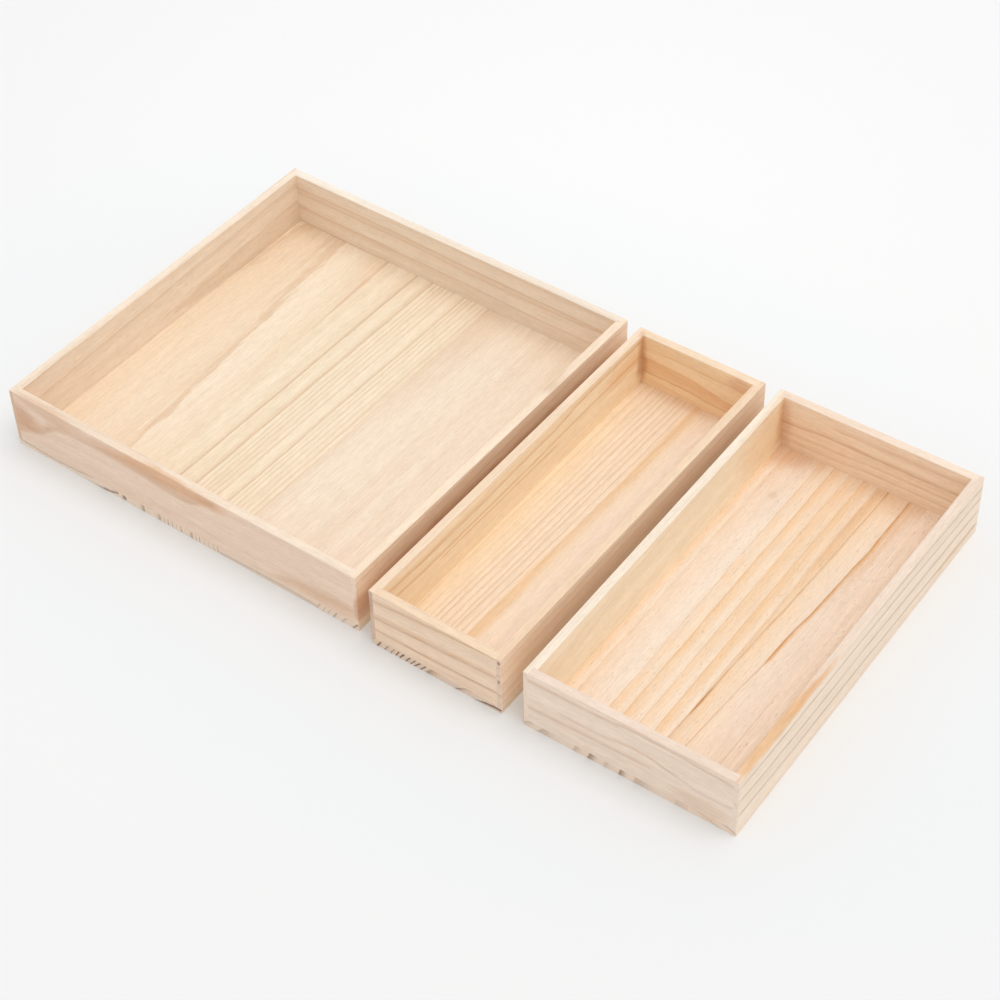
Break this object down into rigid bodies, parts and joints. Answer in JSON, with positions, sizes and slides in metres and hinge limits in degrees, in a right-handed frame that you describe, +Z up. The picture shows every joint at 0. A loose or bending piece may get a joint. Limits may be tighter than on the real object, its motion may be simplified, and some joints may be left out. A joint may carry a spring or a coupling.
{
  "type": "display tray set",
  "caption": "Row of open-top pine display trays of one height, large square, narrow and medium, with rabbeted corners and edge-glued bottoms; each tray lifts out by itself.",
  "frame": {"origin": "under the middle of the whole row, at the height of the surface that the trays stand on", "axes": "+X along the row from the large tray to the medium tray, +Y from the trays' fronts to their backs, +Z up"},
  "size_m": [0.5804, 0.3074, 0.049],
  "materials": {
    "pine_wall": "sanded, unfinished",
    "pine_stave": "sanded, unfinished",
    "steel_brad": "bright wire"
  },
  "bodies": {
    "large_tray": {"large_front_wall": "pine_wall", "large_back_wall": "pine_wall", "large_left_wall": "pine_wall", "large_right_wall": "pine_wall", "large_stave_1": "pine_stave", "large_stave_2": "pine_stave", "large_stave_3": "pine_stave", "large_stave_4": "pine_stave", "large_brads": "steel_brad"},
    "narrow_tray": {"narrow_front_wall": "pine_wall", "narrow_back_wall": "pine_wall", "narrow_left_wall": "pine_wall", "narrow_right_wall": "pine_wall", "narrow_stave_1": "pine_stave", "narrow_brads": "steel_brad"},
    "medium_tray": {"medium_front_wall": "pine_wall", "medium_back_wall": "pine_wall", "medium_left_wall": "pine_wall", "medium_right_wall": "pine_wall", "medium_stave_1": "pine_stave", "medium_stave_2": "pine_stave", "medium_brads": "steel_brad"}
  },
  "joints": [
    {"name": "narrow_lift", "type": "slide", "parent": "large_tray", "child": "narrow_tray", "axis": [0, 0, 1], "range_m": [0, 0.06]},
    {"name": "medium_lift", "type": "slide", "parent": "large_tray", "child": "medium_tray", "axis": [0, 0, 1], "range_m": [0, 0.06]}
  ]
}
